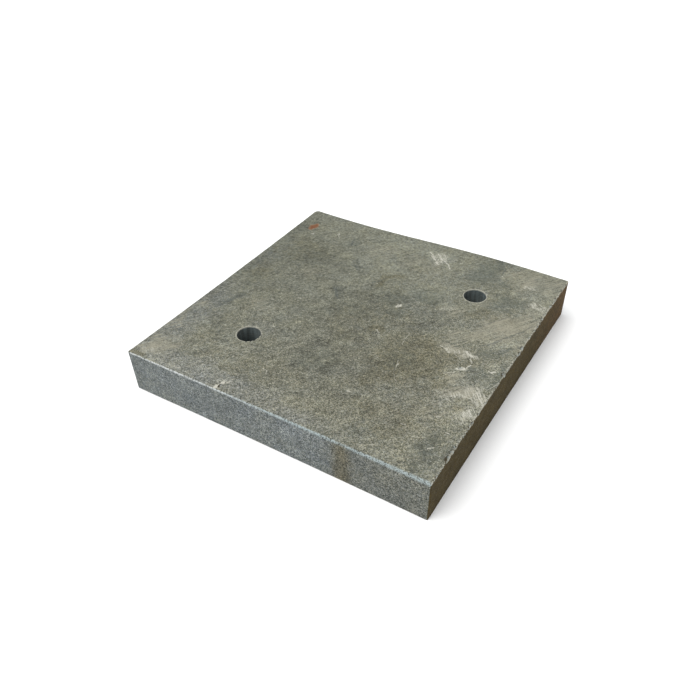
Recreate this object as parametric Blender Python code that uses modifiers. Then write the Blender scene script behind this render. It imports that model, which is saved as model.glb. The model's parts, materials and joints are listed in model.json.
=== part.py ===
# Granite slab: one sawn and dressed piece of stone with two holes drilled
# right through it. Metres, +Z up. The origin is the middle of the underside,
# X runs along the eased front edge and Y runs away from that edge.

import bmesh
import bpy

# The block
SLAB_WIDTH = 0.220          # along X
SLAB_DEPTH = 0.220          # along Y
SLAB_THICKNESS = 0.030      # along Z

# How far each edge is rounded over
FRONT_EASE = 0.0020         # top edge at the front, rubbed down by hand
BACK_LEFT_CORNER = 0.0026   # upright corner at the back left, the most worn
UPRIGHT_CORNER = 0.0012     # the other three upright corners
SAWN_ARRIS = 0.0004         # every other edge, sharp from the saw
EDGE_SEGMENTS = 4

# The holes: both are drilled with one bit, and each is set out from the two
# sides nearest to it
HOLE_DIAMETER = 0.016
HOLE_RIM = 0.0005           # how far the rim has crumbled back
FRONT_HOLE_FROM_LEFT = 0.0565
FRONT_HOLE_FROM_FRONT = 0.0545
BACK_HOLE_FROM_RIGHT = 0.0515
BACK_HOLE_FROM_BACK = 0.0500
HOLE_SIDES = 64

DRILL_OVERRUN = 0.004       # how far the cutter passes each face
MERGE_DISTANCE = 0.00001

STONE_COLOUR = (0.215, 0.218, 0.175, 1.0)
STONE_ROUGHNESS = 0.62
SHARP_ANGLE = 0.7           # radians


def clear_scene():
    for old in list(bpy.data.objects):
        bpy.data.objects.remove(old, do_unlink=True)


def make_collection(name):
    collection = bpy.data.collections.new(name)
    bpy.context.scene.collection.children.link(collection)
    return collection


def make_stone():
    stone = bpy.data.materials.new("dark_grey_granite")
    stone.use_nodes = True
    shader = stone.node_tree.nodes["Principled BSDF"]
    shader.inputs["Base Color"].default_value = STONE_COLOUR
    shader.inputs["Roughness"].default_value = STONE_ROUGHNESS
    shader.inputs["Metallic"].default_value = 0.0
    return stone


def edge_radius(edge):
    """How far this edge of the plain block is rounded over."""
    middle = (edge.verts[0].co + edge.verts[1].co) / 2
    along = edge.verts[0].co - edge.verts[1].co
    is_upright = abs(along.z) > max(abs(along.x), abs(along.y))
    if is_upright:
        at_back_left = middle.x < 0 < middle.y
        return BACK_LEFT_CORNER if at_back_left else UPRIGHT_CORNER
    at_front_top = middle.z > SLAB_THICKNESS / 2 and middle.y < -SLAB_DEPTH / 4
    return FRONT_EASE if at_front_top else SAWN_ARRIS


def make_block(collection):
    """The block with every edge rounded by its own amount."""
    mesh = bpy.data.meshes.new("granite_slab")
    form = bmesh.new()
    bmesh.ops.create_cube(form, size=1.0)
    bmesh.ops.translate(form, verts=form.verts, vec=(0, 0, 0.5))
    bmesh.ops.scale(form, verts=form.verts, vec=(SLAB_WIDTH, SLAB_DEPTH, SLAB_THICKNESS))
    widest = max(FRONT_EASE, BACK_LEFT_CORNER, UPRIGHT_CORNER, SAWN_ARRIS)
    weight = form.edges.layers.float.new("bevel_weight_edge")
    for edge in form.edges:
        edge[weight] = edge_radius(edge) / widest
    form.to_mesh(mesh)
    form.free()

    slab = bpy.data.objects.new("granite_slab", mesh)
    collection.objects.link(slab)
    rounding = slab.modifiers.new("edges", "BEVEL")
    rounding.limit_method = "WEIGHT"
    rounding.width = widest
    rounding.segments = EDGE_SEGMENTS
    return slab


def hole_places():
    """Each hole's name and the X and Y of its axis."""
    left, right = -SLAB_WIDTH / 2, SLAB_WIDTH / 2
    front, back = -SLAB_DEPTH / 2, SLAB_DEPTH / 2
    return {
        "front_hole": (left + FRONT_HOLE_FROM_LEFT, front + FRONT_HOLE_FROM_FRONT),
        "back_hole": (right - BACK_HOLE_FROM_RIGHT, back - BACK_HOLE_FROM_BACK),
    }


def make_drill(name, x, y, collection):
    """A cutter turned about the hole's axis, flared where it leaves each face."""
    bore = HOLE_DIAMETER / 2
    flare = bore + HOLE_RIM + DRILL_OVERRUN
    top = SLAB_THICKNESS
    outline = [
        (0, top + DRILL_OVERRUN),
        (flare, top + DRILL_OVERRUN),
        (bore, top - HOLE_RIM),
        (bore, HOLE_RIM),
        (flare, -DRILL_OVERRUN),
        (0, -DRILL_OVERRUN),
    ]
    mesh = bpy.data.meshes.new(name)
    form = bmesh.new()
    points = [form.verts.new((radius, 0, height)) for radius, height in outline]
    for start, end in zip(points, points[1:]):
        form.edges.new((start, end))
    form.to_mesh(mesh)
    form.free()

    drill = bpy.data.objects.new(name, mesh)
    drill.location = (x, y, 0)
    drill.hide_render = True
    drill.display_type = "WIRE"
    collection.objects.link(drill)
    turning = drill.modifiers.new("turning", "SCREW")
    turning.axis = "Z"
    turning.steps = HOLE_SIDES
    turning.render_steps = HOLE_SIDES
    turning.use_merge_vertices = True
    turning.merge_threshold = MERGE_DISTANCE
    return drill


def drill_holes(slab, cutters):
    for name, (x, y) in hole_places().items():
        cut = slab.modifiers.new(name, "BOOLEAN")
        cut.operation = "DIFFERENCE"
        cut.solver = "EXACT"
        cut.object = make_drill(name + "_drill", x, y, cutters)


def main():
    clear_scene()
    parts = make_collection("granite_slab")
    cutters = make_collection("cutters")
    slab = make_block(parts)
    slab.data.materials.append(make_stone())
    drill_holes(slab, cutters)
    slab.data.shade_smooth()
    slab.data.set_sharp_from_angle(angle=SHARP_ANGLE)


main()
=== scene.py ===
import json
import math
import random

import bmesh
import bpy
import numpy as np
from mathutils import Euler, Matrix, Vector, noise
from mathutils.bvhtree import BVHTree
from mathutils.kdtree import KDTree


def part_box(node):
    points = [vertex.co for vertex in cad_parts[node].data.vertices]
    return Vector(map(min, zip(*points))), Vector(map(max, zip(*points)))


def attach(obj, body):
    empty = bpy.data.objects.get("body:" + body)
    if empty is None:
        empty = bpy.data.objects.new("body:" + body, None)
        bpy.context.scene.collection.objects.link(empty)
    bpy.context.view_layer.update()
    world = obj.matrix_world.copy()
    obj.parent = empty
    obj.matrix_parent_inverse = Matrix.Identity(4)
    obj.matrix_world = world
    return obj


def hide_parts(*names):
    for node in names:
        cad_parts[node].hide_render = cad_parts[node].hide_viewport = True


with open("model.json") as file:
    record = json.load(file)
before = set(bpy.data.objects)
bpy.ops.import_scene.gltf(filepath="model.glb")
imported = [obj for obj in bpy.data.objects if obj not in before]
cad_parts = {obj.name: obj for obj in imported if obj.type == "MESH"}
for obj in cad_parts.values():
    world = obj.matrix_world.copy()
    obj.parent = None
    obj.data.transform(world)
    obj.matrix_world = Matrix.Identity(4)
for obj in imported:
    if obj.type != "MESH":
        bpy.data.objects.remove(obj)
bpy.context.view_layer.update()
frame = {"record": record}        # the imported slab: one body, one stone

stoneLow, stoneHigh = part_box("granite_slab")
width = stoneHigh.x - stoneLow.x
depth = stoneHigh.y - stoneLow.y
thickness = stoneHigh.z - stoneLow.z
mm = 0.001
print("frame loaded", [round(side / mm, 1) for side in (width, depth, thickness)])


class Wire:                                     # an output socket that takes part in sums,
                                                # in geometry and shader trees alike
    def __init__(self, tree, socket):
        self.tree = tree
        self.socket = socket

    def node(self, kind, settings=None, values=None, out=0):
        return addNode(self.tree, kind, settings, values, out)

    def math(self, operation, *others):
        values = dict(enumerate((self,) + others))
        return self.node("ShaderNodeMath", {"operation": operation}, values)

    def __add__(self, other):
        return self.math("ADD", other)

    def __radd__(self, other):
        return self.math("ADD", other)

    def __sub__(self, other):
        return self.math("SUBTRACT", other)

    def __rsub__(self, other):
        return self.node("ShaderNodeMath", {"operation": "SUBTRACT"}, {0: other, 1: self})

    def __mul__(self, other):
        return self.math("MULTIPLY", other)

    def __rmul__(self, other):
        return self.math("MULTIPLY", other)

    def __truediv__(self, other):
        return self.math("DIVIDE", other)

    def __rtruediv__(self, other):
        return self.node("ShaderNodeMath", {"operation": "DIVIDE"}, {0: other, 1: self})

    def __pow__(self, other):
        return self.math("POWER", other)

    def __neg__(self):
        return self.math("MULTIPLY", -1.0)

    def least(self, other):
        return self.math("MINIMUM", other)

    def most(self, other):
        return self.math("MAXIMUM", other)

    def size(self):
        return self.math("ABSOLUTE")

    def rise(self, start, end):                 # 0 before start, 1 after end, eased between
        settings = {"interpolation_type": "SMOOTHSTEP"}
        values = {"Value": self, "From Min": start, "From Max": end}
        return self.node("ShaderNodeMapRange", settings, values)

    def spread(self, low, high):                # 0..1 stretched to low..high
        return self * (high - low) + low

    def parts(self):                            # x, y and z of a vector
        split = self.node("ShaderNodeSeparateXYZ", None, {0: self})
        return [Wire(self.tree, out) for out in split.socket.node.outputs]


def plug(tree, socket, value):
    if isinstance(value, Wire):
        tree.links.new(value.socket, socket)
    else:
        socket.default_value = value


def addNode(tree, kind, settings=None, values=None, out=0):
    made = tree.nodes.new(kind)
    for name, value in (settings or {}).items():
        if name == "stops":                     # (position, colour) pairs of a ramp
            ramp = made.color_ramp.elements
            while len(ramp) < len(value):
                ramp.new(1.0)
            for stop, (position, colour) in zip(ramp, value):
                stop.position = position
                stop.color = colour
        else:
            setattr(made, name, value)
    for name, value in (values or {}).items():
        plug(tree, made.inputs[name], value)
    return Wire(tree, made.outputs[out])


def newTree(name, inputs):                      # a geometry tree and its named inputs as wires
    tree = bpy.data.node_groups.new(name, "GeometryNodeTree")
    tree.interface.new_socket(name="Geometry", in_out="INPUT", socket_type="NodeSocketGeometry")
    tree.interface.new_socket(name="Geometry", in_out="OUTPUT", socket_type="NodeSocketGeometry")
    for label, kind in inputs.items():
        tree.interface.new_socket(name=label, in_out="INPUT", socket_type="NodeSocket" + kind)
    entry = tree.nodes.new("NodeGroupInput")
    return tree, {socket.name: Wire(tree, socket) for socket in entry.outputs if socket.name}


def closeTree(tree, geometry, material):
    real = addNode(tree, "GeometryNodeRealizeInstances", None, {0: geometry})
    done = addNode(tree, "GeometryNodeSetMaterial", None, {"Geometry": real, "Material": material})
    exit = tree.nodes.new("NodeGroupOutput")
    tree.links.new(done.socket, exit.inputs[0])


def grow(name, tree, values, start=None):       # runs a geometry tree and returns its plain mesh
    base = bpy.data.objects.new(name, start or bpy.data.meshes.new(name))
    bpy.context.scene.collection.objects.link(base)
    run = base.modifiers.new(name, "NODES")
    run.node_group = tree
    for item in tree.interface.items_tree:
        if item.in_out == "INPUT" and item.name in values:
            run[item.identifier] = values[item.name]
    depsgraph = bpy.context.evaluated_depsgraph_get()
    mesh = bpy.data.meshes.new_from_object(base.evaluated_get(depsgraph))
    bpy.data.objects.remove(base)
    mesh.name = name
    return mesh


# the block as it left the mason: sawn sides, one top edge rubbed round by hand
block = {
    "cellsAcross": 161,
    "cellsThrough": 27,
    "crowding": 0.75,            # how far the cells crowd towards the edges
    "easeLeft": 1.1 * mm,        # rounding of the front top edge, at its left end
    "easeRight": 3.2 * mm,       # and at its right end
    "wornCorner": 4.4 * mm,      # upright corner at the back left
    "uprightCorner": 1.2 * mm,   # the other three
    "arris": 0.35 * mm,          # every other edge
    "relief": 0.10 * mm,         # low swells left by the honing
    "pitting": 0.05 * mm,        # small hollows between the grains
}

# how far the hand-cut block is out of true
outOfTrue = {
    "Left Hollow": 1.0 * mm,
    "Front Hollow": 0.4 * mm,
    "Right Hollow": 0.3 * mm,
    "Back Wave": 1.8 * mm,
    "Back Lean": 1.5 * mm,       # the back runs out this far at its right end
    "Front Left Rise": 0.85 * mm,
    "Front Right Rise": -0.5 * mm,
    "Back Right Rise": -1.0 * mm,
    "Back Left Rise": -0.1 * mm,
    "Front Left Flare": 0.8 * mm,     # the front leans out this far at its foot
    "Front Right Flare": 1.6 * mm,
    "Left Flare": 0.5 * mm,
}

# the two drilled holes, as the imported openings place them
hole = {
    "radius": 8.0 * mm,
    "sides": 96,
    "rings": 60,
    "chatter": 0.30 * mm,        # grooves the bit left in the wall
    "rim": 0.3 * mm,             # its two ends are just broken
    "overrun": 6.0 * mm,
}
holeMiddles = []
for opening in frame["record"]["physics"]["openings"]:
    low, high = (Vector(corner) for corner in opening["box_m"])
    holeMiddles.append(((low.x + high.x) / 2, (low.y + high.y) / 2))


def noiseAt(place, scale, detail=2.0, roughness=0.5, out=0):
    values = {"Vector": place, "Scale": scale, "Detail": detail, "Roughness": roughness}
    return place.node("ShaderNodeTexNoise", None, values, out)


def joined(tree, x, y, z):
    return addNode(tree, "ShaderNodeCombineXYZ", None, {0: x, 1: y, 2: z})


def moved(tree, geometry, position=None, offset=None):
    values = {"Geometry": geometry}
    if position:
        values["Position"] = position
    if offset:
        values["Offset"] = offset
    return addNode(tree, "GeometryNodeSetPosition", None, values)


def scaled(vector, amount):
    return vector.node("ShaderNodeVectorMath", {"operation": "SCALE"}, {0: vector, "Scale": amount})


def blockTree():
    tree, given = newTree("dressed block", {
        "Width": "Float", "Depth": "Float", "Thickness": "Float",
        "Cells Across": "Int", "Cells Through": "Int", "Crowding": "Float",
        "Ease Left": "Float", "Ease Right": "Float", "Worn Corner": "Float",
        "Upright Corner": "Float", "Arris": "Float", "Relief": "Float", "Pitting": "Float",
        "Stone": "Material"})
    cube = addNode(tree, "GeometryNodeMeshCube", None, {
        "Size": (2, 2, 2), "Vertices X": given["Cells Across"],
        "Vertices Y": given["Cells Across"], "Vertices Z": given["Cells Through"]})
    shares = addNode(tree, "GeometryNodeInputPosition").parts()      # -1..1 on each axis
    halves = [given[side] * 0.5 for side in ("Width", "Depth", "Thickness")]
    crowding = given["Crowding"]
    place = []
    for share, half in zip(shares, halves):
        bunched = (share * (math.pi / 2)).math("SINE")
        place.append((share * (1 - crowding) + bunched * crowding) * half)

    where = joined(tree, *place)
    rough = noiseAt(where, 160.0, 3.0)                               # uneven along every edge
    arris = given["Arris"] * rough.spread(0.1, 2.2)
    along = (shares[0] * 0.5 + 0.5) ** 1.6
    ease = (given["Ease Left"] + (given["Ease Right"] - given["Ease Left"]) * along)
    ease = ease * noiseAt(where, 45.0, 2.0).spread(0.75, 1.25)

    def roundEdge(first, firstSide, second, secondSide, radius):
        a = halves[first] - place[first] * firstSide                 # distances in from both faces
        b = halves[second] - place[second] * secondSide
        fromA = (radius - a).most(0.0)
        fromB = (radius - b).most(0.0)
        reach = ((fromA * fromA + fromB * fromB) ** 0.5).most(radius)
        pull = 1 - radius / reach
        place[first] = (halves[first] - a - fromA * pull) * firstSide
        place[second] = (halves[second] - b - fromB * pull) * secondSide

    for xSide in (-1, 1):
        for ySide in (-1, 1):
            backLeft = xSide < 0 < ySide
            corner = given["Worn Corner"] if backLeft else given["Upright Corner"]
            roundEdge(0, xSide, 1, ySide, corner)
    for zSide in (-1, 1):
        for axis in (0, 1):
            for side in (-1, 1):
                frontTop = axis == 1 and side < 0 < zSide
                roundEdge(axis, side, 2, zSide, ease if frontTop else arris)

    lifted = joined(tree, place[0], place[1], place[2] + halves[2])
    shaped = moved(tree, cube, position=lifted)
    here = addNode(tree, "GeometryNodeInputPosition")
    swell = (noiseAt(here, 28.0, 3.0) - 0.5) * given["Relief"]
    pits = (noiseAt(here, 420.0, 2.0) - 0.62).most(0.0) * (given["Pitting"] * -8.0)
    outward = addNode(tree, "GeometryNodeInputNormal")
    closeTree(tree, moved(tree, shaped, offset=scaled(outward, swell + pits)), given["Stone"])
    return tree


def outOfTrueTree():             # bends anything laid out on the true block to the hand-cut one
    inputs = {"Width": "Float", "Depth": "Float", "Thickness": "Float", "Stone": "Material"}
    inputs.update({name: "Float" for name in outOfTrue})
    tree, given = newTree("out of true", inputs)
    x, y, z = addNode(tree, "GeometryNodeInputPosition").parts()
    u = x / (given["Width"] * 0.5)
    v = y / (given["Depth"] * 0.5)
    right, back = u * 0.5 + 0.5, v * 0.5 + 0.5
    left, front = 1 - right, 1 - back
    low = 1 - z / given["Thickness"]
    bowX = (1 - v * v) * (left * given["Left Hollow"] - right * given["Right Hollow"])
    bowX = bowX - left * front * low * given["Left Flare"]
    wave = ((u + 0.06) * math.pi).math("SINE") * given["Back Wave"] + right * given["Back Lean"]
    flare = given["Front Left Flare"] * left + given["Front Right Flare"] * right
    bowY = (1 - u * u) * front * given["Front Hollow"] + back * back * wave - front * low * flare
    rise = (front * (left * given["Front Left Rise"] + right * given["Front Right Rise"])
            + back * (left * given["Back Left Rise"] + right * given["Back Right Rise"]))
    offset = joined(tree, bowX, bowY, rise * (z / given["Thickness"]))
    closeTree(tree, moved(tree, given["Geometry"], offset=offset), given["Stone"])
    return tree


def boreTree():                  # a standing cutter, its wall grooved by the bit
    tree, given = newTree("bore", {
        "Radius": "Float", "Length": "Float", "Sides": "Int", "Rings": "Int", "Rim": "Float",
        "Half Thickness": "Float", "Chatter": "Float", "Seed": "Float", "Stone": "Material"})
    rod = addNode(tree, "GeometryNodeMeshCylinder", {"fill_type": "NGON"}, {
        "Vertices": given["Sides"], "Side Segments": given["Rings"],
        "Radius": given["Radius"], "Depth": given["Length"]}, out="Mesh")
    x, y, z = addNode(tree, "GeometryNodeInputPosition").parts()
    seed = given["Seed"]
    grooves = noiseAt(joined(tree, x * 12.0 + seed, y * 12.0, z * 700.0), 1.0, 2.0)
    scars = noiseAt(joined(tree, x * 190.0, y * 190.0 + seed, z * 60.0), 1.0, 2.0)
    flare = (z.size() - given["Half Thickness"] + given["Rim"]).most(0.0).least(given["Rim"] * 1.6)
    growth = 1 + ((grooves + scars - 1) * given["Chatter"] + flare) / given["Radius"]
    closeTree(tree, moved(tree, rod, position=joined(tree, x * growth, y * growth, z)),
              given["Stone"])
    return tree


# chips broken from the edges: each pass strews spaced flakes along its lines, so that no two
# flakes of a pass overlap
chipPasses = {
    "fine nibbles": {"spacing": 1.7 * mm, "small": 0.16 * mm, "large": 0.52 * mm, "kept": 0.75,
                     "standOff": 0.10 * mm, "seed": 3, "rims": True, "calm": True},
    "second nibbles": {"spacing": 2.6 * mm, "small": 0.40 * mm, "large": 1.20 * mm, "kept": 0.80,
                       "standOff": 0.25 * mm, "seed": 11, "rims": True, "calm": False},
    "chips": {"spacing": 5.2 * mm, "small": 0.9 * mm, "large": 2.4 * mm, "kept": 0.65,
              "standOff": 0.9 * mm, "seed": 21, "rims": False, "calm": False},
}


def chipTree():
    tree, given = newTree("chips along lines", {
        "Spacing": "Float", "Small": "Float", "Large": "Float", "Kept": "Float",
        "Stand Off": "Float", "Seed": "Int", "Stone": "Material"})
    curve = addNode(tree, "GeometryNodeMeshToCurve", None, {0: given["Geometry"]})
    dots = addNode(tree, "GeometryNodeResampleCurve", {"mode": "LENGTH"},
                   {"Curve": curve, "Length": given["Spacing"]})

    def chance(kind, seed, values, out):
        values["Seed"] = given["Seed"] + seed
        return addNode(tree, "FunctionNodeRandomValue", {"data_type": kind}, values, out)

    jitter = chance("FLOAT_VECTOR", 0, {0: (-1, -1, -1), 1: (1, 1, 1)}, 0)
    tangent = addNode(tree, "GeometryNodeInputTangent")
    slide = chance("FLOAT", 1, {2: -0.18, 3: 0.18}, 1) * given["Spacing"]
    shifted = moved(tree, dots, offset=scaled(jitter, given["Stand Off"]))
    shifted = moved(tree, shifted, offset=scaled(tangent, slide))
    kept = chance("BOOLEAN", 2, {"Probability": given["Kept"]}, 3)
    size = chance("FLOAT", 3, {2: 0.0, 3: 1.0}, 1) ** 2.2
    size = given["Small"] + (given["Large"] - given["Small"]) * size
    shape = chance("FLOAT_VECTOR", 4, {0: (0.7, 0.7, 0.5), 1: (1.3, 1.1, 0.9)}, 0)
    turn = chance("FLOAT_VECTOR", 5, {0: (0, 0, 0), 1: (6.28, 6.28, 6.28)}, 0)
    flake = addNode(tree, "GeometryNodeMeshIcoSphere", None, {"Radius": 1.0, "Subdivisions": 2})
    strewn = addNode(tree, "GeometryNodeInstanceOnPoints", None, {
        "Points": shifted, "Selection": kept, "Instance": flake,
        "Rotation": turn, "Scale": scaled(shape, size)})
    closeTree(tree, strewn, given["Stone"])
    return tree


# single larger knocks: middle and half size along X, Y and Z, in mm, and turn about Z in degrees
knocks = [
    ((110.2, -104.0, 30.0), (1.3, 2.0, 1.6), 6),
    ((110.0, -89.5, 29.9), (2.3, 3.2, 2.5), 12),
    ((110.2, -80.0, 30.2), (1.8, 2.3, 2.1), -8),
    ((110.3, -70.5, 30.0), (1.2, 2.4, 1.6), 4),
    ((110.2, -61.0, 30.2), (1.6, 2.6, 1.8), 5),
    ((110.3, -49.0, 30.2), (1.5, 2.0, 1.5), -6),
    ((110.3, -36.5, 30.2), (1.3, 2.9, 1.4), 3),
    ((110.2, -23.0, 30.1), (1.7, 2.2, 1.7), 10),
    ((110.3, -7.0, 30.2), (1.2, 1.8, 1.4), 0),
    ((110.2, 12.0, 30.2), (1.7, 2.8, 1.8), 0),
    ((110.3, 27.0, 30.2), (1.2, 2.0, 1.4), -5),
    ((110.3, 46.5, 30.2), (1.5, 2.6, 1.5), 4),
    ((110.4, 63.0, 30.1), (1.1, 1.7, 1.3), 0),
    ((110.4, 79.5, 30.1), (1.3, 2.2, 1.4), -4),
    ((110.4, 97.0, 30.0), (1.5, 3.4, 1.6), 4),
    ((112.4, 113.4, -1.0), (4.6, 4.6, 8.0), 0),
    ((-46.5, -59.0, 30.55), (1.5, 1.1, 0.9), 30),
    ((-36.8, -105.2, 30.55), (1.1, 2.0, 1.6), -6),
    ((83.4, -17.3, 29.65), (1.8, 1.0, 0.80), 46),
    ((17.7, 22.4, 30.15), (1.3, 2.0, 0.70), 10),
    ((-90.3, 74.9, 30.45), (0.9, 1.3, 0.75), 0),
    ((-71.6, 84.5, 30.4), (1.0, 1.7, 0.75), 15),
]


def lineOf(name, runs):          # runs of points as one mesh of open lines
    points, edges = [], []
    for run in runs:
        first = len(points)
        points += run
        edges += [(first + i, first + i + 1) for i in range(len(run) - 1)]
    mesh = bpy.data.meshes.new(name)
    mesh.from_pydata(points, edges, [])
    return mesh


def straight(start, end, trim=3.5 * mm, steps=48):
    start, end = Vector(start), Vector(end)
    along = (end - start).normalized()
    start, end = start + along * trim, end - along * trim
    return [tuple(start.lerp(end, i / steps)) for i in range(steps + 1)]


def ring(middle, radius, height, steps=48):
    turns = [2 * math.pi * i / steps for i in range(steps)]
    return [(middle[0] + radius * math.cos(a), middle[1] + radius * math.sin(a), height)
            for a in turns]


def edgeRuns():                  # lines that chip, sharp ones first, then the ones that wear less
    x, y, top = width / 2, depth / 2, thickness
    sharp = [straight((x, -y, top), (x, y, top), trim=1.0 * mm, steps=120)]
    calm = [
        straight((-x, y, top), (x, y, top)),
        straight((-x, -y, top), (-x, y, top)),
        straight((-x, -y, top - block["easeLeft"] / 3), (x, -y, top - block["easeRight"] / 3)),
    ]
    for xSide in (-x, x):
        calm.append(straight((xSide, -y, 0), (xSide, y, 0)))
        for ySide in (-y, y):
            calm.append(straight((xSide, ySide, 0), (xSide, ySide, top)))
    for ySide in (-y, y):
        calm.append(straight((-x, ySide, 0), (x, ySide, 0)))
    return sharp, calm


def cutAway(body, cutter):
    tool = bpy.data.objects.new("cutter", cutter)
    bpy.context.scene.collection.objects.link(tool)
    cut = body.modifiers.new("cut", "BOOLEAN")
    cut.operation = "DIFFERENCE"
    cut.solver = "MANIFOLD"
    cut.object = tool
    depsgraph = bpy.context.evaluated_depsgraph_get()
    left = bpy.data.meshes.new_from_object(body.evaluated_get(depsgraph))
    body.modifiers.remove(cut)
    bpy.data.objects.remove(tool)
    body.data = left


def drillCutter(stone, size, bend):
    tree = boreTree()
    tilt = {name: value if "Rise" in name else 0.0 for name, value in outOfTrue.items()}
    parts = []
    for number, (x, y) in enumerate(holeMiddles):
        mesh = grow("bore", tree, {
            "Radius": hole["radius"], "Length": thickness + 2 * hole["overrun"],
            "Sides": hole["sides"], "Rings": hole["rings"], "Chatter": hole["chatter"],
            "Rim": hole["rim"], "Half Thickness": thickness / 2,
            "Seed": 5.0 + number, "Stone": stone})
        mesh.transform(Matrix.Translation((x, y, thickness / 2)))
        parts.append(grow("bore", bend, dict(size, **tilt), mesh))
    return parts


def knockCutter(stone):
    rng = random.Random(8)
    form = bmesh.new()
    for middle, half, turn in knocks:
        made = bmesh.ops.create_icosphere(form, subdivisions=3, radius=1.0)["verts"]
        facing = Euler((0, 0, math.radians(turn))).to_matrix()
        phase = Vector([rng.uniform(0, 50) for _ in range(3)])
        for vert in made:
            rough = 1 + 0.35 * noise.noise(vert.co * 1.6 + phase)
            sized = Vector([c * h * rough for c, h in zip(vert.co, half)])
            vert.co = (facing @ sized + Vector(middle)) * mm
    mesh = bpy.data.meshes.new("knocks")
    form.to_mesh(mesh)
    form.free()
    mesh.materials.append(stone)
    return mesh


def makeSlab(stone):
    size = {"Width": width, "Depth": depth, "Thickness": thickness, "Stone": stone}
    bend = outOfTrueTree()
    whole = grow("granite", blockTree(), dict(size, **{
        "Cells Across": block["cellsAcross"], "Cells Through": block["cellsThrough"],
        "Crowding": block["crowding"], "Ease Left": block["easeLeft"],
        "Ease Right": block["easeRight"], "Worn Corner": block["wornCorner"],
        "Upright Corner": block["uprightCorner"], "Arris": block["arris"],
        "Relief": block["relief"], "Pitting": block["pitting"]}))
    whole = grow("granite", bend, dict(size, **outOfTrue), whole)
    slab = bpy.data.objects.new("workedSlab", whole)
    bpy.context.scene.collection.objects.link(slab)
    print("block dressed", len(whole.polygons), "faces")

    sound = BVHTree.FromObject(slab, bpy.context.evaluated_depsgraph_get())
    for cutter in drillCutter(stone, size, bend):
        cutAway(slab, cutter)
    print("holes drilled", len(slab.data.polygons), "faces")

    sharp, calm = edgeRuns()
    rims = [ring(middle, hole["radius"], height)
            for middle in holeMiddles for height in (0, thickness)]
    chips = chipTree()
    for name, chip in chipPasses.items():
        runs = list(sharp)
        if chip["rims"]:
            runs += rims
        if chip["calm"]:
            runs += calm
        path = grow(name, bend, dict(size, **outOfTrue), lineOf(name, runs))
        flakes = grow(name, chips, {
            "Spacing": chip["spacing"], "Small": chip["small"], "Large": chip["large"],
            "Kept": chip["kept"], "Stand Off": chip["standOff"], "Seed": chip["seed"],
            "Stone": stone}, path)
        cutAway(slab, flakes)
        print(name, "cut", len(slab.data.polygons), "faces")
    cutAway(slab, knockCutter(stone))
    bent = grow("arrises", bend, dict(size, **outOfTrue), lineOf("arrises", sharp[:1]))
    bruised = [vert.co for vert in bent.vertices]
    markStone(slab, sound, {"bruised": (bruised, 2.2 * mm)})
    slab.data.shade_smooth()
    slab.data.set_sharp_from_angle(angle=math.radians(38))
    print("knocks cut", len(slab.data.polygons), "faces")
    return slab


def nearest(points, targets):    # how far each point is from the closest target
    tree = KDTree(len(targets))
    for number, target in enumerate(targets):
        tree.insert(target, number)
    tree.balance()
    return np.array([tree.find(point)[2] for point in points])


def wandered(x, y):              # the same points pushed about, so that patches get ragged shores
    shifts = []
    for px, py in zip(x, y):
        wide = noise.noise_vector(Vector((px * 0.055, py * 0.055, 3.0)))
        close = noise.noise_vector(Vector((px * 0.17, py * 0.17, 9.0)))
        shifts.append((wide.x * 7 + close.x * 3.2, wide.y * 7 + close.y * 3.2))
    shifts = np.array(shifts)
    return x + shifts[:, 0], y + shifts[:, 1]


def fieldAt(x, y, places):       # 0..1, how deep each point lies in the patches of one kind
    field = np.zeros(len(x))
    for middle, half, turn, strength in places:
        c, s = math.cos(math.radians(turn)), math.sin(math.radians(turn))
        dx, dy = x - middle[0], y - middle[1]
        reach = np.hypot((dx * c + dy * s) / half[0], (dy * c - dx * s) / half[1])
        field = np.maximum(field, strength * np.clip(1.6 - reach, 0, 1))
    return field


def markStone(slab, sound, arrises):     # point attributes that the material reads
    mesh = slab.data
    count = len(mesh.vertices)
    spots = np.empty(count * 3, np.float32)
    mesh.vertices.foreach_get("co", spots)
    spots = spots.reshape(count, 3)
    x, y = spots[:, 0], spots[:, 1]
    fromHole = np.min([np.hypot(x - hx, y - hy) for hx, hy in holeMiddles], axis=0)
    inHole = fromHole < hole["radius"] + 0.3 * mm
    cut = np.array([sound.find_nearest(Vector(spot))[3] for spot in spots]) > 0.03 * mm
    marks = {"drilled": cut & inHole, "broken": cut & ~inHole}
    for name, (runs, reach) in arrises.items():
        marks[name] = np.clip(1 - nearest(spots, runs) / reach, 0, 1)
    wx, wy = wandered(x / mm, y / mm)
    for kind, places in patches.items():
        marks[kind] = fieldAt(wx, wy, places)
    for name, values in marks.items():
        layer = mesh.attributes.new(name, "FLOAT", "POINT")
        layer.data.foreach_set("value", values.astype(np.float32))


# ---- looks. All lengths below are in mm, measured from the middle of the slab

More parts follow.
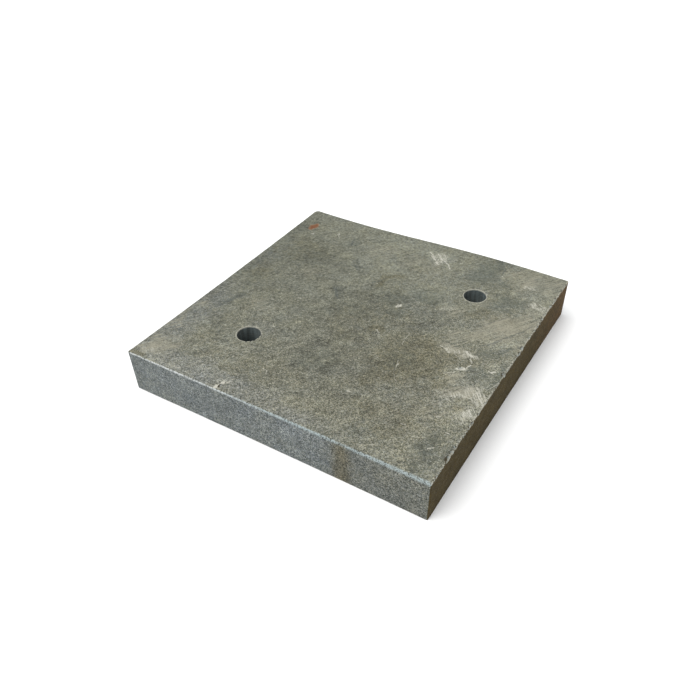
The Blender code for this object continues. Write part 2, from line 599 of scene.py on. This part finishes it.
# patches on the top: middle, half size, turn in degrees, strength
patches = {
    "oily": [                    # blue grey, where the stone has drunk oil
        ((53, 92), (10, 15), 0, 0.85), ((58, 106), (6, 8), 0, 0.9), ((40, 78), (3, 12), -18, 0.6),
        ((68, 84), (6, 4), -20, 0.6), ((84, 66), (12, 7), 10, 0.75), ((77, 56), (9, 6), 0, 0.65),
        ((30, 42), (11, 11), 20, 0.75), ((10, 28), (13, 8), 0, 0.6), ((17, 16), (9, 4), 15, 0.55),
        ((98, -86), (9, 13), -10, 0.65), ((97, -104), (8, 5), 0, 0.6), ((107, -15), (4, 11), 0, 0.8),
        ((97, 7), (12, 5), 25, 0.6), ((94, -17), (8, 6), 0, 0.5), ((-104, 40), (5, 48), 0, 0.5),
        ((-92, 0), (7, 13), 10, 0.5), ((-88, -28), (3, 12), -20, 0.6), ((-56, 80), (3, 9), 10, 0.6),
        ((-36, 51), (2.5, 6), 35, 0.55), ((-28, 15), (3, 10), 30, 0.5), ((2, -56), (16, 9), 20, 0.5),
        ((46, -28), (9, 12), 0, 0.5), ((-45, -33), (6, 4), 0, 0.4), ((60, -96), (14, 8), 0, 0.35),
        ((-12, 2), (20, 9), 20, 0.4), ((-80, 47), (26, 16), 30, 0.4),
    ],
    "brown": [                   # old grime and leather dye
        ((52, -24), (26, 26), -15, 0.75), ((44, -48), (13, 13), 0, 0.7), ((64, -12), (16, 8), -10, 0.7),
        ((-6, 48), (3, 11), -38, 0.9), ((16, -10), (4, 2.6), 20, 0.95), ((8, 3), (30, 14), 12, 0.45),
        ((10, -20), (16, 10), 0, 0.45), ((-105, -107), (7, 3), 0, 0.9), ((-80, 50), (26, 20), 0, 0.45),
        ((-95, 12), (7, 14), 15, 0.6), ((68, 43), (8, 8), 0, 0.6), ((79, -35), (8, 10), 30, 0.6),
        ((60, -80), (24, 16), 0, 0.5), ((86, 46), (20, 12), 40, 0.4), ((-20, -80), (26, 16), 0, 0.35),
        ((84, -8), (4, 9), 10, 0.7), ((8, 70), (7, 3), 20, 0.5), ((96, -50), (6, 5), 0, 0.5),
    ],
    "dusty": [                   # dry beige bloom, drawn out in streaks
        ((89, 97), (21, 15), 0, 0.62), ((92, 37), (12, 22), -38, 0.95), ((82, 22), (12, 8), 40, 0.8),
        ((103, 52), (9, 12), 0, 0.65), ((106, 24), (5, 16), 0, 0.55), ((68, 12), (8, 7), 0, 0.6),
        ((72, -2), (11, 5), -8, 0.95), ((82, -26), (8, 4), 30, 0.8), ((94, -36), (11, 7), 30, 0.85),
        ((52, 36), (8, 5), 15, 0.6), ((66, 52), (7, 4), 30, 0.4), ((-97, -95), (14, 9), 35, 0.75),
        ((-106, -66), (4, 26), 0, 0.6), ((-60, 29), (11, 8), 20, 0.45), ((-66, -24), (12, 7), 25, 0.45),
        ((-30, 80), (15, 10), 20, 0.45), ((12, 78), (22, 10), 0, 0.4), ((79, -62), (3, 16), -5, 0.5),
        ((60, -70), (12, 10), 0, 0.35), ((-56, -82), (20, 9), 15, 0.35), ((88, -60), (10, 8), 0, 0.4),
    ],
    "light": [                   # a little brighter
        ((-6, 98), (20, 10), 0, 0.9), ((-20, 66), (26, 10), 0, 0.6), ((30, 50), (16, 12), 0, 0.8),
        ((-28, 30), (10, 8), 0, 0.7), ((98, 18), (8, 6), 0, 0.9), ((80, -28), (9, 12), 0, 0.7),
        ((55, -92), (12, 8), 0, 0.5), ((-50, -98), (16, 8), 0, 0.7), ((85, -6), (12, 5), 0, 0.5),
        ((16, 94), (14, 8), 0, 0.9), ((100, 82), (8, 8), 0, 0.8), ((102, -14), (7, 8), 0, 0.9),
        ((-44, 9), (20, 11), 0, 0.6), ((44, 42), (10, 7), 0, 0.6), ((5, -50), (6, 9), 0, 0.7),
        ((-55, -27), (18, 8), 0, 0.6), ((-92, -62), (9, 6), 0, 0.6), ((8, 71), (14, 8), 0, 0.5),
        ((86, -88), (8, 10), 0, 0.5), ((98, -52), (8, 8), 0, 0.9),
    ],
    "deep": [                    # and darker
        ((0, 16), (14, 8), 0, 0.4), ((71, 72), (8, 8), 0, 0.6), ((92, 34), (12, 8), 0, 0.5),
        ((-95, 92), (12, 8), 0, 0.4),
        ((-104, 86), (10, 18), 0, 0.7), ((20, -46), (26, 10), 0, 0.6), ((22, -64), (14, 6), 0, 0.5),
        ((20, -82), (16, 6), 0, 0.5), ((-107, -94), (5, 8), 0, 0.6), ((-108, -25), (6, 14), 0, 0.5),
        ((80, 104), (30, 6), 0, 0.4), ((105, 98), (8, 10), 0, 0.4),
    ],
    "chalky": [                  # scuffs down to bare pale stone
        ((16, 92), (10, 4.5), -28, 1.0), ((18, 86), (3, 6), -25, 0.7), ((103, 68), (5, 3), -30, 0.95),
        ((86, 87), (5, 2), 28, 0.75), ((50, 35), (6, 3), 25, 0.6), ((72, -2), (9, 3.5), -20, 0.85),
        ((83, -3), (3, 6), 25, 0.8), ((104, -37), (6, 9), 20, 1.0), ((104, -53), (5, 7), 0, 1.0),
        ((91, -40), (10, 4), 35, 0.9), ((86, -49), (5, 5), 0, 0.7), ((98, -30), (8, 4), 50, 0.8), ((101, -10), (2.4, 2), 0, 0.7),
        ((-98, -97), (7, 3), 35, 0.55), ((80, -25), (5, 1.6), 35, 0.6), ((90, -27), (3, 1.4), 60, 0.55),
    ],
    "hazy": [
        ((-104, -60), (14, 44), 0, 1.0), ((-60, -102), (52, 9), 0, 1.0), ((0, -104), (40, 7), 0, 0.7),
        ((-100, 30), (10, 30), 0, 0.4), ((-50, -45), (10, 6), 0, 0.5),
    ],
    "rusty": [((-98.3, 85.6), (3.6, 4.4), -10, 1.0)],
}

# small marks on the top: middle, half length, half width, turn in degrees, strength
marks = [
    (11.3, 90.3, 9.4, 0.55, -47, 1.0), (9.6, 90.9, 3.4, 0.5, -37, 0.8), (14.8, 93.7, 5.1, 0.6, -38, 0.9),
    (18.1, 95.3, 4.5, 0.45, -53, 0.6), (24.1, 87.3, 5.6, 0.5, -46, 1.0), (16.8, 88.9, 2.6, 0.5, -30, 0.7),
    (25.3, 94.3, 2.8, 0.5, 48, 0.6), (31.7, 93.9, 1.2, 0.5, 78, 0.6), (20.5, 91.0, 4.0, 0.45, -44, 0.7),
    (66.6, -4.3, 4.5, 0.45, -25, 0.8), (75.0, -5.7, 5.3, 0.45, -43, 0.5), (81.8, -1.7, 2.6, 0.7, -28, 1.4),
    (85.4, -6.0, 3.3, 0.5, -66, 0.8), (86.6, -14.3, 2.6, 0.6, 73, 1.2), (83.3, -17.4, 1.3, 1.15, 46, 4.5),
    (100.8, -11.2, 1.4, 0.5, -9, 0.8), (102.6, -10.6, 0.9, 0.7, 65, 1.5), (91.1, -41.6, 5.0, 0.4, 36, 0.6),
    (97.5, -39.0, 2.4, 0.4, -8, 0.6), (88.1, -46.8, 3.5, 0.4, -42, 0.5), (103.6, -26.6, 4.1, 0.35, 73, 0.6),
    (107.5, -22.8, 5.6, 0.35, 76, 0.7), (104.3, -41.2, 2.2, 0.7, -30, 0.8), (107.2, -34.2, 2.4, 0.6, -51, 0.7),
    (106.5, -53.6, 3.2, 0.6, 14, 0.7), (101.7, -46.5, 2.1, 0.5, 44, 0.5), (39.2, -7.6, 6.1, 0.25, -81, 0.6),
    (-21.1, -80.3, 2.3, 0.4, -32, 0.7), (19.3, -10.2, 2.3, 0.4, -43, 0.8), (-69.5, 81.5, 2.6, 0.3, -51, 0.45),
    (88.4, 87.7, 3.4, 0.5, -9, 0.7), (106.0, 70.1, 5.3, 0.6, -31, 0.8), (105.5, 69.3, 2.4, 0.5, 54, 0.6),
    (-105.0, -110.4, 3.8, 0.6, -2, 0.9), (-37.2, -104.6, 3.3, 1.0, 71, 2.2), (-34.0, -99.8, 1.0, 0.5, 60, 0.8),
    (17.7, 22.4, 1.3, 1.1, 75, 1.6), (-48, -4.5, 0.7, 0.6, 0, 1.0), (-64, -15, 0.8, 0.6, 0, 0.5),
    (-72, 85, 0.9, 0.6, 60, 0.8), (-91, 75, 0.7, 0.5, 0, 0.8), (34, -70, 0.7, 0.5, 40, 0.7),
    (-6, -44, 0.9, 0.4, 20, 0.5), (-71, -105.5, 2.4, 0.5, 10, 0.6), (47.5, -34, 5.0, 0.25, -72, 0.6),
    (52.5, -46, 4.0, 0.22, -50, 0.5), (-44, -40, 0.6, 0.5, 0, 0.6), (43, -50, 0.6, 0.4, 20, 0.6),
    (76, -78, 1.6, 0.35, 20, 0.5), (101, -72, 0.8, 0.5, 0, 0.8), (91, -62, 1.4, 0.4, 35, 0.6),
    (-27, -97, 1.2, 0.4, -30, 0.5), (-15, 30, 0.6, 0.45, 0, 0.5), (-82, -60, 0.9, 0.4, 30, 0.4),
    (98, -87, 1.3, 0.5, 60, 0.9), (79, -24, 3.4, 0.4, 40, 0.6),
]

# darker scores in the beige bloom and the corner: middle, half length, half width, turn
scores = [
    (97, 27, 13, 0.55, 57), (103, 38, 10, 0.5, 62), (90, 15, 8, 0.6, 50), (101, 14, 9, 0.7, 48),
    (84, 41, 9, 0.45, 55), (-10, 43, 6, 0.6, 55), (-56, 81, 6, 0.8, -72), (-34, 50, 4, 0.7, -40),
    (-88, -28, 8, 0.7, 66), (46, -36, 6, 0.5, -60), (-29, 14, 7, 0.8, -50), (64.5, 103, 7, 0.5, 88),
]

stone = {
    "crystal": 0.80,             # size of the larger grains
    "fleck": 0.42,               # size of the small ones
    "thread": 1.10,              # spacing of the fine pale threads between grains
    "clean": 2.75,               # contrast of the grains where the stone is clean
    "veiled": 0.60,              # and under the worst film
    "dark": (0.024, 0.028, 0.027, 1),
    "dim": (0.063, 0.071, 0.069, 1),
    "grey": (0.104, 0.116, 0.113, 1),
    "pale": (0.166, 0.181, 0.176, 1),
    "white": (0.290, 0.305, 0.296, 1),
    "grime": (1.16, 1.075, 0.90, 1),          # tints the top
    "film": (0.136, 0.134, 0.093, 1),         # and lies thinly over all of it
    "coolTint": (0.99, 1.01, 1.12, 1),            # cools the front and left of the top
    "oily": (0.72, 0.750, 0.775, 1),          # each of these multiplies the stone
    "brown": (0.790, 0.752, 0.665, 1),
    "dusty": (0.262, 0.248, 0.190, 1),        # and these lie on it
    "chalky": (0.430, 0.420, 0.360, 1),
    "rust": (0.200, 0.092, 0.043, 1),
    "rustHeart": (0.125, 0.034, 0.012, 1),
    "bruised": (0.360, 0.350, 0.295, 1),
    # painted highlight along the eased front edge
    "rubbed": (0.285, 0.332, 0.334, 1),
    "edgeHighlightLeft": (0.460, 0.480, 0.475, 1),     # the painted highlight at the left end of the eased edge
    "broken": (0.305, 0.300, 0.260, 1),
    # the drilled wall: its dark part is partly painted shade of the bore
    "drill": (0.035, 0.049, 0.053, 1),
    "slurry": (0.104, 0.134, 0.142, 1),
    # painted shade of the right side, at its front end and at its back end
    "shadeSide": (0.049, 0.0320, 0.0045, 1),
    "farShade": (0.083, 0.0455, 0.0118, 1),
    "run": (0.80, 0.68, 0.48, 1),
    "sunSide": (0.90, 0.86, 0.78, 1),         # warms the right end of the front
}


def blend(factor, under, over, how="MIX"):
    settings = {"data_type": "RGBA", "blend_type": how}
    return factor.node("ShaderNodeMix", settings, {0: factor, 6: under, 7: over}, out=2)


def vector(place, operation, *others, **named):
    values = dict(enumerate((place,) + others))
    values.update(named)
    return place.node("ShaderNodeVectorMath", {"operation": operation}, values)


def turned(place, degrees):
    values = {"Vector": place, "Angle": math.radians(degrees)}
    return place.node("ShaderNodeVectorRotate", {"rotation_type": "Z_AXIS"}, values)


def streaksAt(place, degrees, across, along, detail=3.0):    # noise drawn out in one direction
    drawn = vector(turned(place, -degrees), "MULTIPLY", (1 / along, 1 / across, 1 / across))
    return noiseAt(drawn, 1.0, detail, 0.6)


def grainAt(place):              # crystals, and the dust of smaller ones, both about 0
    warp = vector(noiseAt(place, 1.1, 2.0, out="Color"), "SUBTRACT", (0.5, 0.5, 0.5))
    place = vector(place, "ADD", scaled(warp, 0.8))

    def cells(size):
        values = {"Vector": place, "Scale": 1 / size}
        return place.node("ShaderNodeTexVoronoi", None, values, out="Color").parts()[0] - 0.5

    thread = 1 - ((noiseAt(place, 1 / stone["thread"], 1.5) - 0.5).size() * 14).least(1.0)
    fine = noiseAt(place, 2.2, 2.0, 0.6) - 0.5
    fibre = streaksAt(place, 52, 0.42, 1.5, 2.0) - 0.5
    return cells(stone["crystal"]) * 0.24 + thread * 0.12, cells(stone["fleck"]) * 0.32 + fine * 0.45 + fibre * 0.55


def markMask(place, nick, x, y, halfLength, halfWidth, turn):
    local = vector(turned(vector(place, "SUBTRACT", (x, y, 0)), -turn), "MULTIPLY", (1, 1, 0))
    past = vector(vector(vector(local, "ABSOLUTE"), "SUBTRACT", (halfLength, 0, 0)), "MAXIMUM", (0, 0, 0))
    away = past.node("ShaderNodeVectorMath", {"operation": "LENGTH"}, {0: past}, out="Value")
    return 1 - (away / halfWidth + nick).rise(0.3, 1.5)


def stoneMaterial():
    material = bpy.data.materials.new("worn granite")
    material.use_nodes = True
    tree = material.node_tree
    tree.nodes.clear()
    place = scaled(addNode(tree, "ShaderNodeTexCoord", out="Object"), 1 / mm)
    x, y, z = place.parts()
    facing = addNode(tree, "ShaderNodeNewGeometry", out="Normal").parts()
    upward = facing[2].rise(0.55, 0.92)

    def painted(name):
        return addNode(tree, "ShaderNodeAttribute", {"attribute_name": name}, out="Fac")

    # broad clouds and the drawn-out mottling, then the grains on top of them
    cloud = noiseAt(place, 0.030, 3.0, 0.5) - 0.5
    mottle = noiseAt(place, 0.14, 3.0, 0.6) - 0.5
    speckle = noiseAt(place, 0.50, 3.0, 0.6) - 0.5
    drawn = streaksAt(place, 52, 1.8, 9.0) - 0.5
    drawn = drawn + (streaksAt(place, 20, 2.6, 11.0) - 0.5) * 0.6
    veil = (noiseAt(place, 0.05, 3.0) * 0.6 - x * 0.0042 + y * 0.0060 + 0.20).most(0.0).least(1.0)
    ragged = (noiseAt(place, 0.20, 6.0, 0.65) - 0.5) * 3.0
    oily = (painted("oily") + ragged * 0.45).rise(0.10, 0.95) * upward
    clarity = (stone["clean"] - veil * (stone["clean"] - stone["veiled"])) * (1 - oily * 0.45)
    onFront = (facing[1] * -1).rise(0.5, 0.9)
    clarity = clarity * (1 - onFront * (0.28 - x * 0.0006))
    crystals, flecks = grainAt(place)
    grains = crystals + flecks
    level = crystals * (clarity * 0.8 + 0.2) + flecks * clarity + 0.5
    names = ("dark", "dim", "grey", "pale", "white")
    stops = list(zip((0.0, 0.27, 0.50, 0.75, 1.0), (stone[name] for name in names)))
    colour = place.node("ShaderNodeValToRGB", {"stops": stops}, {"Fac": level})
    tone = 1 + cloud * 0.40 + mottle * 0.80 + speckle * (veil * 1.7 + 0.55) + drawn * 0.80
    u, v = x / (width / mm / 2), y / (depth / mm / 2)
    # the top darker towards the front middle and lighter towards the back and the right, with patches a little
    # lighter and darker
    topGradient = u * 0.033 + v * 0.111 + u * u * 0.116 + u * v * 0.115 + v * v * 0.191 - 0.109
    topGradient = topGradient.least(0.13) + painted("light") * 0.22 - painted("deep") * 0.22
    combed = streaksAt(place, 56, 0.75, 8.0) - 0.5
    tone = tone + (topGradient + combed * (painted("dusty") * 1.3 + 0.25)) * upward
    tone = tone + onFront * (x * -0.00105).most(0.0)
    warmth = (noiseAt(place, 0.06, 4.0, 0.6) - 0.5) * 0.16 + (noiseAt(place, 0.9, 2.0) - 0.5) * 0.25
    tint = addNode(tree, "ShaderNodeCombineColor", None,
                   {0: tone * (1 + warmth * 0.8), 1: tone * (1 + warmth * 0.25), 2: tone * (1 - warmth * 1.2)})
    colour = blend(upward, colour, stone["grime"], "MULTIPLY")
    colour = blend(upward * 0.28, colour, stone["film"])
    colour = blend(upward.spread(0.9, 1.0), colour, tint, "MULTIPLY")

    # stains lie on the top only: each painted field is broken up by its own noise
    strokes = streaksAt(place, -48, 0.8, 7.0, 2.0) - 0.5
    wisps = streaksAt(place, 55, 1.3, 14.0) - 0.5
    veins = 1 - ((noiseAt(place, 0.24, 3.0, 0.6) - 0.5).size() * 22).least(1.0)
    hazy = (painted("hazy") + ragged * 0.25).rise(0.0, 1.0) * upward
    colour = blend(hazy, colour, stone["coolTint"], "MULTIPLY")
    colour = blend(oily, colour, stone["oily"], "MULTIPLY")
    brown = (painted("brown") - ragged * 0.40).rise(0.10, 1.0) * upward
    colour = blend(brown, colour, stone["brown"], "MULTIPLY")
    dusty = painted("dusty") + ragged * 0.30 + wisps * 2.0 + grains * 0.5
    dusty = dusty.rise(0.20, 1.20) * upward
    colour = blend(dusty * (0.62 + wisps * 1.6), colour, stone["dusty"])
    chalky = (painted("chalky") + ragged * 0.35).rise(0.25, 1.15) * upward
    rubs = 0.50 + strokes * 3.4 + grains * 1.1 + veins * 0.25
    colour = blend(chalky * rubs.rise(0.15, 1.25), colour, stone["chalky"])
    rusty = painted("rusty") + ragged * 0.25 + grains * 0.4
    colour = blend(rusty.rise(0.25, 0.95) * upward * 0.75, colour, stone["rust"])
    colour = blend(rusty.rise(0.75, 1.25) * upward, colour, stone["rustHeart"])
    # single bright feldspar specks, and pinholes
    values = {"Vector": place, "Scale": 0.12}
    apart = place.node("ShaderNodeTexVoronoi", None, values, out="Distance")
    draw = apart.socket.node.outputs["Color"]
    draw = Wire(tree, draw).parts()
    dot = (1 - (apart + crystals * 0.1).rise(0.030, 0.085)) * upward
    colour = blend(dot * draw[0].rise(0.76, 0.86) * 0.85, colour, stone["chalky"])
    colour = blend(dot * (1 - draw[0].rise(0.10, 0.18)) * 0.6, colour, stone["dark"])
    nick = (noiseAt(place, 1.6, 2.0) - 0.5) * 1.8
    sway = vector(noiseAt(place, 0.28, 2.0, out="Color"), "SUBTRACT", (0.5, 0.5, 0.5))
    swayed = vector(place, "ADD", scaled(sway, 4.0))
    broken = (grains * 2.0 + 0.66).least(1.0).most(0.2)
    for mx, my, halfLength, halfWidth, turn, strength in marks:
        mask = markMask(swayed, nick, mx, my, halfLength, halfWidth, turn) * strength * upward
        colour = blend((mask * broken).least(1.0), colour, stone["chalky"])
    for mx, my, halfLength, halfWidth, turn in scores:
        mask = markMask(swayed, nick, mx, my, halfLength, halfWidth, turn) * upward
        colour = blend(mask * (0.45 + wisps * 1.5), colour, stone["dim"])

    # one brown run down the front, and painted shade on the right side: a dark warm brown, lighter and redder
    # towards the back
    run = 1 - ((x - 53.0).size() / 8.5 + ragged * 0.25 + mottle).rise(0.1, 1.2)
    colour = blend(onFront * run * 0.8, colour, stone["run"], "MULTIPLY")
    colour = blend(onFront * (x + mottle * 60).rise(30, 75), colour, stone["sunSide"], "MULTIPLY")
    # painted shade: the right side takes the dark warm brown, laid over the grain tint
    onRight = facing[0].rise(0.30, 0.65)
    shade = blend((y + mottle * 90).rise(30, 120), stone["shadeSide"], stone["farShade"])
    colour = blend(onRight * 0.88, colour, blend(onRight, shade, tint, "MULTIPLY"))

    # the eased edge carries a painted highlight, bruised edges are paler, broken stone is palest, the drilled wall
    # dark, partly painted shade of the bore, with slurry
    # painted highlight where the eased edge turns between up and forward, whiter towards its left end
    rubbed = (1 - facing[2].rise(0.78, 0.98)) * facing[2].rise(0.12, 0.72)
    rubbed = rubbed * (facing[1] * -1).rise(0.05, 0.30) * (1 - run * 0.5)
    shine = blend((x + mottle * 50).rise(-70, 20), stone["edgeHighlightLeft"], stone["rubbed"])
    colour = blend((rubbed * (grains * 3.6 + ragged * 0.25 + 0.70)).least(1.0).most(0.0), colour, shine)
    bruised = (painted("bruised") + ragged * 0.30 + grains * 1.1).rise(0.38, 0.90)
    # broken stone turned to the right keeps the painted shade of the right side
    clear = 1 - onRight * 0.85
    colour = blend(bruised * clear * 0.8, colour, stone["bruised"])
    colour = blend(painted("broken") * clear * 0.7, colour, stone["broken"])
    drilled = painted("drilled")
    flutes = noiseAt(joined(tree, x * 0.45, y * 0.45, z * 0.05), 1.0, 3.0) - 0.5
    # dark wall in the bores, partly painted shade, fluted with paler slurry
    wall = blend((0.5 + flutes * 3.5).least(1.0).most(0.0), stone["drill"], stone["slurry"])
    colour = blend(drilled * 0.95, colour, wall)
    fromRim = 99.0
    for hx, hy in holeMiddles:
        dx, dy = x - hx / mm, y - hy / mm
        fromHole = ((dx * dx + dy * dy) ** 0.5 - hole["radius"] / mm - 0.25).size()
        fromRim = fromHole.least(fromRim)
    rim = (1 - (fromRim + ragged * 0.20 - grains * 0.6).rise(0.15, 0.65)) * (z.size() - 1).rise(0.0, 1.0)
    rim = rim * (facing[2].size() + drilled * 0.4).rise(0.35, 0.6)
    colour = blend(rim * 0.8, colour, stone["bruised"])

    rough = 0.70 - rubbed * 0.30 + painted("broken") * 0.15 - oily * 0.10 + mottle * 0.25 + onRight * 0.30
    height = grains * 0.5 + noiseAt(place, 2.6, 3.0, 0.6) * 0.4 + mottle
    bump = height.node("ShaderNodeBump", None,
                       {"Height": height, "Strength": 0.35, "Distance": 0.25 * mm})
    shader = addNode(tree, "ShaderNodeBsdfPrincipled", None, {
        "Base Color": colour, "Roughness": rough, "Normal": bump, "Specular IOR Level": 0.12})
    end = tree.nodes.new("ShaderNodeOutputMaterial")
    tree.links.new(shader.socket, end.inputs["Surface"])
    return material


# ---- the studio
studio = {
    "floorSize": 12.0,
    "sky": (0.97, 0.985, 1.0, 1),
    "skyStrength": 0.82,
    "key": {"from": (-0.42, -0.46, 1.25), "spread": 55, "power": 2.50, "colour": (1, 0.99, 0.97)},
}

camera = {
    "place": (0.9055, -1.4427, 1.3700),     # in slab widths, from the middle of the underside
    "turn": 31.49,                           # degrees to the left of straight ahead
    "tilt": 44.30,                           # degrees down
    "roll": -1.145,
    "lens": 34.27,
    "shift": (-0.0266, 0.0896),
}


def makeFloor():
    mesh = bpy.data.meshes.new("floor")
    form = bmesh.new()
    bmesh.ops.create_grid(form, x_segments=1, y_segments=1, size=studio["floorSize"] / 2)
    form.to_mesh(mesh)
    form.free()
    floor = bpy.data.objects.new("floor", mesh)
    bpy.context.scene.collection.objects.link(floor)
    material = bpy.data.materials.new("pale floor")
    material.use_nodes = True
    tree = material.node_tree
    tree.nodes.clear()
    place = addNode(tree, "ShaderNodeTexCoord", out="Object")
    tone = noiseAt(place, 3.0, 3.0).spread(0.87, 0.90)
    colour = addNode(tree, "ShaderNodeCombineColor", None, {0: tone, 1: tone, 2: tone})
    shader = addNode(tree, "ShaderNodeBsdfPrincipled", None, {"Base Color": colour, "Roughness": 0.8})
    end = tree.nodes.new("ShaderNodeOutputMaterial")
    tree.links.new(shader.socket, end.inputs["Surface"])
    mesh.materials.append(material)
    return floor


def aimed(place, target):
    return (Vector(target) - Vector(place)).to_track_quat("-Z", "Y").to_euler()


def makeLights():
    world = bpy.data.worlds.new("studio")
    world.use_nodes = True
    sky = world.node_tree.nodes["Background"]
    sky.inputs["Color"].default_value = studio["sky"]
    sky.inputs["Strength"].default_value = studio["skyStrength"]
    bpy.context.scene.world = world
    lamp = studio["key"]
    light = bpy.data.lights.new("key", "SUN")
    light.angle = math.radians(lamp["spread"])
    light.energy = lamp["power"]
    light.color = lamp["colour"]
    holder = bpy.data.objects.new("key", light)
    holder.location = lamp["from"]
    holder.rotation_euler = aimed(lamp["from"], (0, 0, 0))
    bpy.context.scene.collection.objects.link(holder)


def makeCamera():
    lens = bpy.data.cameras.new("camera")
    lens.lens = camera["lens"]
    lens.sensor_width = 36.0
    lens.shift_x, lens.shift_y = camera["shift"]
    lens.clip_end = 50.0
    holder = bpy.data.objects.new("camera", lens)
    holder.location = Vector(camera["place"]) * width
    turn = Matrix.Rotation(math.radians(camera["turn"]), 3, "Z")
    tilt = Matrix.Rotation(math.radians(90 - camera["tilt"]), 3, "X")
    roll = Matrix.Rotation(math.radians(camera["roll"]), 3, "Z")
    holder.rotation_euler = (turn @ tilt @ roll).to_euler()
    bpy.context.scene.collection.objects.link(holder)
    bpy.context.scene.camera = holder


makeCamera()
makeLights()
makeFloor()
bpy.context.scene.view_settings.view_transform = "Standard"
print("studio set")

slab = makeSlab(stoneMaterial())
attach(slab, "root")
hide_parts("granite_slab")
